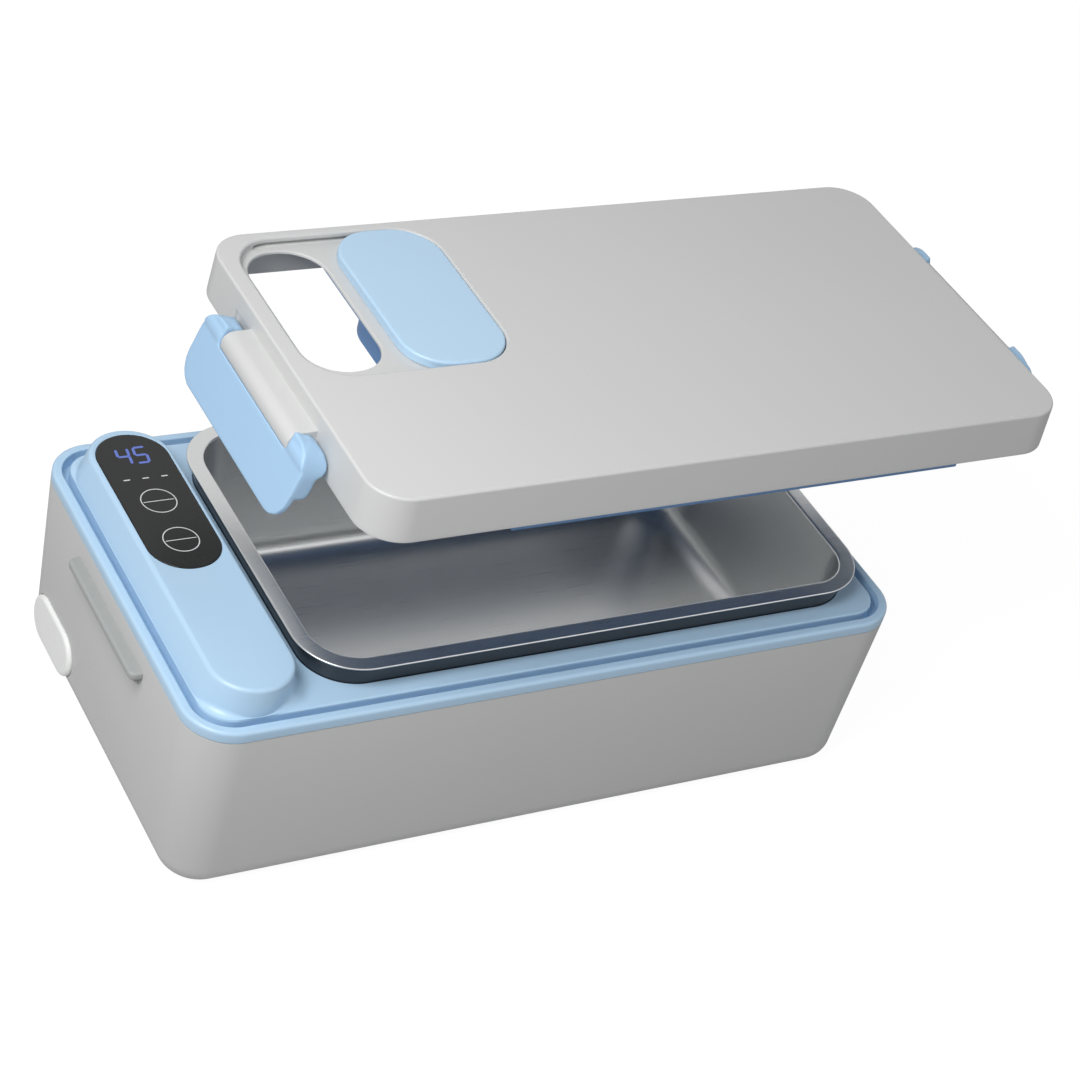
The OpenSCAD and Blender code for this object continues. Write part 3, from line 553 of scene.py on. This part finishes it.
for k, y in enumerate(touch_y):
    ring = ring_strip("touch_ring_%d" % k, touch_x, y, 5.8, 0.34)
    finish_piece(ring, "base", "panel_black", print_white)
bars = flat_strokes("touch_dividers", [stroke(touch_x - 5.3, y, touch_x + 5.3, y, 0.3) for y in touch_y])
finish_piece(bars, "base", "panel_black", print_white)
dots = flat_strokes("mode_marks", [stroke(x - 1.2, 38.2, x + 1.2, 38.2, 0.5)
                                   for x in (touch_x - 6.5, touch_x, touch_x + 6.5)])
finish_piece(dots, "base", "panel_black", print_white)

# The electronics under the panel, the battery and the power parts are hidden inside: boards of
# green laminate, sleeved cells, black mouldings and red leads.
board_green = moulded_plastic("board_green", (0.03, 0.22, 0.11), 0.45, 0.9, 0.01)
paint_nodes(board_green, "control_board", "power_board")
black_moulding = moulded_plastic("black_moulding", (0.05, 0.05, 0.055), 0.5)
paint_nodes(black_moulding, "battery_holder", "power_inlet", "thermostat")
sleeve_blue = moulded_plastic("sleeve_blue", (0.06, 0.18, 0.42), 0.35)
paint_nodes(sleeve_blue, "battery_cells")
lead_red = moulded_plastic("lead_red", (0.42, 0.03, 0.025), 0.45)
paint_nodes(lead_red, "internal_wires")
display_blue = moulded_plastic("display_blue", (0.10, 0.13, 0.36), 0.35)
paint_nodes(display_blue, "display_module")

# The heated well is pressed from aluminium sheet, with a thick plate under it that two cream
# heater blocks warm, and a pad of pale felt keeps their heat from the floor.
sheet_grey = fine_brush("aluminium_sheet", (0.78, 0.79, 0.80), 0.38)
paint_nodes(sheet_grey, "heater_well", "heater_plate")
heater_cream = moulded_plastic("heater_cream", (0.66, 0.60, 0.38), 0.6, 1.0, 0.02)
paint_nodes(heater_cream, "ptc_heaters")
felt_pale = moulded_plastic("felt_pale", (0.75, 0.73, 0.66), 0.95, 1.6, 0.15)
paint_nodes(felt_pale, "insulation_pad")

# The collar is a glossy black band that stands on the deck round the opening and carries the
# tray's rim.
collar_black = moulded_plastic("collar_black", (0.008, 0.010, 0.016), 0.16, 0.8, 0.001, coat=0.5)
tray_rect = (-83.6, 115.2, -56.2, 56.2)
collar_rings = outline_stack(tray_rect, 15, [(-6.3, 65.9), (-6.3, 67.3), (-2.35, 67.35), (-2.3, 67.8),
                                             (-2.3, 77.5)] + arc(-2.0, 77.55, 0.3, 180, 90, 3)
                             + [(-1.2, 77.85), (-1.1, 77.6), (-1.1, 66.0)])
black_collar = skin("black_collar", collar_rings, ring_shut=True)
finish_piece(black_collar, "base", "collar_black", collar_black, "tray_collar")

# The food tray is drawn from stainless sheet: a flat rim with a turned edge, drafted walls and a
# soft bottom edge. It is brushed along its length.
tray_steel = fine_brush("tray_steel", (0.62, 0.63, 0.63), 0.30, 0.001)
tray_top = 78.6
sheet = 0.7
bend_z = 31.6
bend_r = 9


def wall_in(z, gap=0.0):
    """Inset of the wall at a height, from the opening's edge: the wall leans in by two degrees."""
    return (tray_top - z) * math.tan(math.radians(2)) + gap


low_outer = wall_in(bend_z, -sheet)
low_inner = wall_in(bend_z)
tray_outside = ([(low_outer + 12, 22.6)] + arc(low_outer + bend_r, bend_z, bend_r, 270, 180, 12)
                + [(wall_in(33, -sheet), 33), (wall_in(77.4, -sheet), 77.4)])
tray_rim = ([(-1.1, 77.88), (-1.6, 77.9), (-5.0, 77.9)] + arc(-5.45, 78.25, 0.35, 270, 90, 8)
            + [(-4.9, 78.62), (-1.5, tray_top)] + arc(-0.75, 77.85, 0.75, 90, 0, 6))
tray_inside = ([(wall_in(77), 77), (wall_in(33), 33)]
               + arc(low_inner + bend_r - sheet, bend_z, bend_r - sheet, 180, 270, 12)
               + [(low_inner + 9.3, 23.3), (low_inner + 13, 23.3)])
tray_rings = outline_stack(tray_rect, 15, tray_outside + tray_rim + tray_inside)
steel_tray = skin("steel_tray", tray_rings)
finish_piece(steel_tray, "tray", "steel", tray_steel, "food_tray")

# The port's plug is a soft white oval that closes the power inlet, with a rounded face.
plug_white = moulded_plastic("plug_white", (0.86, 0.87, 0.86), 0.55, 0.6, 0.004)
plug_rings = outline_stack((-16.5, 16.5, -8.5, 8.5), 8.5,
                           [(0.2, 0.0), (0, 0.3), (0, 1.2)] + arc(1.3, 1.4, 1.3, 180, 90, 8) + [(3, 2.7)])
plug_face = np.stack([-127.0 - plug_rings[..., 2], plug_rings[..., 0] + port_y,
                      plug_rings[..., 1] + port_z], -1)
port_plug = skin("white_port_plug", plug_face[:, ::-1])
finish_piece(port_plug, "port_plug", "rubber_white", plug_white, "port_plug")

# The lid is one satin grey moulding, shown where it is held after lifting: drafted walls with a
# crisp top edge, a recess that the slider runs in, and the window over the touch panel.
lid_grey = moulded_plastic("lid_plastic", (0.61, 0.615, 0.61), 0.38, 0.45, 0.005)
lid_at = np.array([41.2, 0.0, 65.4])
lid_rect = (-128, 128, -69, 69)
recess_rect = (-121.0, -50.1, -9.0, 64.5)
window_rect = (-118.5, -91.5, -3.0, 61.5)
block_rect = (-124.0, -48.1, -12.0, 66.6)
lid_top = 85.7
lean = 0.8 / 16
lid_outer = ([(0.5, 69.75)] + arc(0.45, 70.15, 0.4, 250, 180, 4)
             + [(0.1, 71.5), (lean * 14.5, 84.2)]
             + arc(0.77 + 0.9, 84.8, 0.9, 180, 90, 8) + [(2.2, lid_top)])
lid_rings = np.concatenate([
    outline_stack(lid_rect, 14, lid_outer),
    outline_stack(recess_rect, 15.3, [(-1.4, lid_top), (-1.0, lid_top)] + arc(-0.9, 84.8, 0.9, 90, 0, 7)
                  + [(0, 84.2), (0, 83.1)] + arc(0.5, 83.0, 0.5, 180, 270, 4) + [(0.9, 82.5)]),
    outline_stack(window_rect, 13, [(-1.0, 82.5), (-0.7, 82.5)] + arc(-0.6, 81.9, 0.6, 90, 0, 6)
                  + [(0, 81.7), (0.05, 81.5), (-0.2, 81.4)]),
    outline_stack(block_rect, 14, [(0.3, 81.4), (0, 81.6), (0, 83.5), (-0.1, 83.7)]),
    outline_stack(lid_rect, 14, [(3.0, 83.7), (2.4, 83.2), (1.6 + lean * 10, 79.7), (1.65, 70.6),
                                 (1.45, 69.75)])])
lid = skin("grey_lid", lid_rings + lid_at, ring_shut=True)


def plain_block(name, x0, x1, y0, y1, z0, z1, radius=0.3, at=(0, 0, 0)):
    """A block with slightly rounded upright corners."""
    rings = outline_stack((x0, x1, y0, y1), radius, [(0, z0), (0, z1)], 3)
    return skin(name, rings + np.array(at, float))


# Two slots in the recess's side walls guide the slider, and a scoop clears each latch's back ear
slots = [plain_block("slot", -112.0, -59.0, y - 1.6, y + 1.6, 82.55, 84.0, at=lid_at)
         for y in (64.4, -8.9)]
for sx in (-1, 1):
    wall_x = sx * 127.6
    slots.append(plain_block("ear_scoop", wall_x - 1.1, wall_x + 1.1, 27.5, 37.5, 72.8, 79.4, 1.0, lid_at))
cut_away(lid, slots)

# A hinge bar stands out of each end of the lid: a rounded nose over the latch's pin, flat on top.
pin_x = 133.0
pin_z = 76.0


def swept_bar(corners, y0, y1, ease):
    """A closed cross-section in X and Z carried along Y, its ends drawn in towards its middle by
    a rounded ease."""
    line = np.array(corners, float)
    outward = line - line.mean(axis=0)
    outward /= np.linalg.norm(outward, axis=1, keepdims=True)
    a = np.radians(np.linspace(0, 90, 6))
    step = ease * (1 - np.sin(a))
    draw = ease * (1 - np.cos(a))
    y = np.concatenate([(y0 + step)[::-1], y1 - step])[:, None]
    flat = line - outward * np.concatenate([draw[::-1], draw])[:, None, None]
    return np.stack([flat[..., 0], y + 0 * flat[..., 0], flat[..., 1]], -1)


nose = arc(pin_x, pin_z, 4.0, 90, 10, 8) + arc(pin_x, pin_z, 4.42, -20, -90, 8)
bar_section = [(127.0, 80.0), (130.0, 80.0)] + nose + [(130.0, 72.0), (127.0, 72.0)]
bar_line = swept_bar(bar_section, -26.0, 26.0, 0.5)
bar_right = skin("hinge_bar_right", bar_line + lid_at)
bar_left = skin("hinge_bar_left", bar_line[:, ::-1] * mirror + lid_at)
for piece in (lid, bar_right, bar_left):
    finish_piece(piece, "lid", "lid_grey", lid_grey, "lid_shell")

# The liner is a blue moulding screwed up into the lid: a plate, a ring that plugs the tray, and a
# rib along the front and the back that drops into the deck's channel.
liner_blue = moulded_plastic("liner_blue", (0.12, 0.26, 0.52), 0.36)
plate_rings = outline_stack((-90.9, 125.6, -66.6, 66.6), 11.6,
                            [(0.3, 80.0), (0, 80.2), (0, 81.1), (0.3, 81.3)])
plate = skin("liner_plate", plate_rings + lid_at)
ring_rings = outline_stack((-80.6, 100.9, -53.2, 53.2), 16, [(1.5, 61.3), (1.0, 60.8), (0.5, 60.8),
                                                             (0, 61.3), (0, 80.1), (1.5, 80.1)])
plug_ring = skin("liner_ring", ring_rings + lid_at, ring_shut=True)
ribs = [skin(name, outline_stack((-78.9, 88.9, y - 0.55, y + 0.55), 0.5,
                                 [(0.25, 66.5), (0, 66.8), (0, 80.1)], 4) + lid_at)
        for name, y in (("liner_rib_front", -66.05), ("liner_rib_back", 66.05))]
for piece in [plate, plug_ring] + ribs:
    finish_piece(piece, "lid", "liner_blue", liner_blue, "lid_liner")

# The seal is a flat white silicone ring under the liner that meets the tray's rim.
seal_white = moulded_plastic("seal_white", (0.82, 0.83, 0.82), 0.6)
paint_nodes(seal_white, "lid_seal")

# The slider is a pale blue plate that runs in the recess and covers the panel's window.
slider_blue = moulded_plastic("slider_blue", (0.465, 0.66, 0.845), 0.34, 0.5, 0.003)
slide_rings = outline_stack((-87.0, -50.4, -8.7, 64.2), 15.0,
                            [(0.3, 82.6), (0, 82.8), (0, 84.9)]
                            + arc(0.9, 85.0, 0.9, 180, 90, 8) + [(1.4, 85.9)])
slider = skin("panel_slider", slide_rings + lid_at)
finish_piece(slider, "slider", "slider_blue", slider_blue, "slider_cover")

# A latch hangs on a pin at each end of the lid: a thin paddle with a rounded foot, two thick ears
# round the pin, and a lip behind it that catches under the hook bar.
latch_blue = moulded_plastic("latch_blue", (0.38, 0.58, 0.80), 0.40, 0.5, 0.004)
half_long = 39.0
ear_in = 26.3
paddle_rect = (-half_long, half_long, 54.0, 80.6)
paddle_corner = 9.0


def stood_up(rings):
    """The same points turned so that an outline drawn in (y, z) stands across X."""
    return np.stack([rings[..., 2], rings[..., 0], rings[..., 1]], -1)


def side_section(y0, y1, ease):
    """An ear and its leg, seen from the side, carried along Y: a circle of 4.6 round the pin, and a
    leg down to a rounded foot. Both ends are drawn in towards the middle by a rounded ease."""
    ear = arc(pin_x, pin_z, 4.6, -29.6, 237, 30)
    foot = arc(133.2, 66.7, 2.7, 180, 270, 8) + arc(136.0, 65.0, 1.0, 270, 360, 5)
    return swept_bar((ear + foot)[::-1], y0, y1, ease)


paddle_rings = outline_stack(paddle_rect, paddle_corner, [(0.2, 134.6), (0.2, 137.0)])
paddle = skin("latch_form", stood_up(paddle_rings))
nose_room = round_bar("nose_room", (pin_x, 0, pin_z), 1, 4.55, 2 * ear_in)
high_room = plain_block("high_room", 128, 140, -ear_in, ear_in, 76, 82, 0.05)
cut_away(paddle, [nose_room, high_room])
ears = [skin("ear_front", side_section(-half_long, -ear_in, 1.6)),
        skin("ear_back", side_section(ear_in, half_long, 1.6))]
corners = stood_up(outline_stack(paddle_rect, paddle_corner, [(0, 120), (0, 145)]))
for ear in ears:
    cut_away(ear, [skin("corners", corners)], "INTERSECT")
lip = skin("lip", outline_stack((132.9, 135.2, -24.5, 24.5), 0.6, [(0, 54.0), (0, 56.0)], 4))
cut_away(paddle, ears + [lip], "UNION")

# The joined form is meshed anew in even steps of 0.45 and smoothed, which rounds its inner corners
soft = paddle.modifiers.new("soft", "REMESH")
soft.mode = "VOXEL"
soft.voxel_size = 0.45 * mm
even = paddle.modifiers.new("even", "SMOOTH")
even.factor = 0.5
even.iterations = 6
made = final_mesh(paddle)
bpy.data.objects.remove(paddle)
closed = np.empty(len(made.vertices) * 3)
made.vertices.foreach_get("co", closed)
closed = closed.reshape(-1, 3) / mm


def swung(points, turn=math.radians(17)):
    """Points turned about the latch's pin, out to the angle of a freed latch: the usual turn of
    (x, z) by the cosine and sine, about the pin's centre."""
    x, z = points[..., 0] - pin_x, points[..., 2] - pin_z
    return np.stack([pin_x + x * math.cos(turn) - z * math.sin(turn), points[..., 1],
                     pin_z + x * math.sin(turn) + z * math.cos(turn)], -1)


for side, sign in (("right", 1), ("left", -1)):
    mesh = made.copy()
    mesh.name = "latch_" + side
    mesh.vertices.foreach_set("co", ((swung(closed) * (sign, 1, 1) + lid_at) * mm).ravel())
    if sign < 0:
        mesh.flip_normals()
    mesh.shade_smooth()
    mesh.update()
    latch = bpy.data.objects.new("blue_latch_" + side, mesh)
    view.collection.objects.link(latch)
    finish_piece(latch, "latch_" + side, "latch_blue", latch_blue, "latch_" + side)
